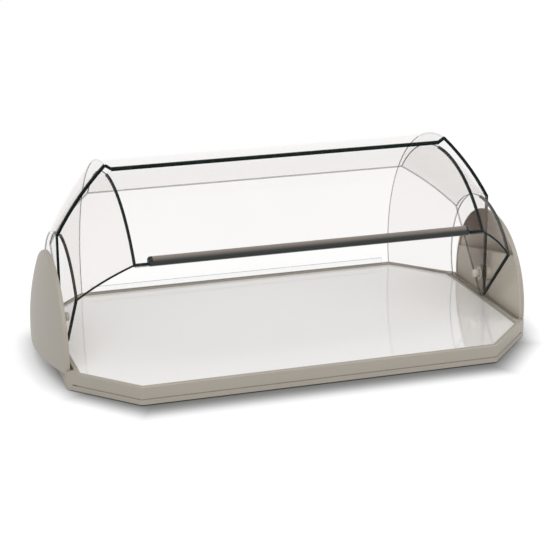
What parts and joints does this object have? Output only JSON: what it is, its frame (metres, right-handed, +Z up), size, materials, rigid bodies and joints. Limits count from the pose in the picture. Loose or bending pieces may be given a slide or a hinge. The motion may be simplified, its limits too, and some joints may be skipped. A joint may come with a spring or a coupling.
{
  "type": "pastry display case",
  "caption": "Counter-top roll-top display case: octagonal grey base, glossy tray, arched end cheeks and a clear faceted cover in nested lids that turn about one axis.",
  "frame": {"origin": "centre of the footprint on the counter surface", "axes": "X along the case, Y from front to back with the front facing -Y, Z up"},
  "size_m": [0.744, 0.4361, 0.2906],
  "materials": {
    "grey_moulding": "satin moulded plastic",
    "liner_moulding": "satin moulded plastic",
    "tray_gloss": "glossy",
    "steel": "turned",
    "cap_plastic": "glossy",
    "foot_rubber": "matt",
    "clear_sheet": "clear polished sheet",
    "bush_nylon": "natural nylon",
    "handle_dark": "glossy",
    "handle_cap": "glossy"
  },
  "bodies": {
    "base": {"base_shell": "grey_moulding", "tray_floor": "tray_gloss", "cheek_right": "grey_moulding", "cheek_left": "grey_moulding", "liner_right": "liner_moulding", "liner_left": "liner_moulding", "pivot_pin_right": "steel", "pivot_pin_left": "steel", "pivot_cap_right": "cap_plastic", "pivot_cap_left": "cap_plastic", "wave_washers": "steel", "cheek_screws": "steel", "feet": "foot_rubber"},
    "front_lid": {"front_main_panel": "clear_sheet", "front_bevel_right": "clear_sheet", "front_bevel_left": "clear_sheet", "front_end_right": "clear_sheet", "front_end_left": "clear_sheet", "front_bushes": "bush_nylon", "front_handle": "handle_dark", "front_handle_caps": "handle_cap"},
    "rear_lid": {"rear_main_panel": "clear_sheet", "rear_bevel_right": "clear_sheet", "rear_bevel_left": "clear_sheet", "rear_end_right": "clear_sheet", "rear_end_left": "clear_sheet", "rear_bushes": "bush_nylon", "rear_edge_strip": "clear_sheet"}
  },
  "joints": [
    {"name": "front_lid_turn", "type": "hinge", "parent": "base", "child": "front_lid", "pos_m": [0, 0, 0.066], "axis": [-1, 0, 0], "range_deg": [-46.1, 43.9]},
    {"name": "rear_lid_turn", "type": "hinge", "parent": "base", "child": "rear_lid", "pos_m": [0, 0, 0.066], "axis": [1, 0, 0], "range_deg": [0, 90]}
  ]
}
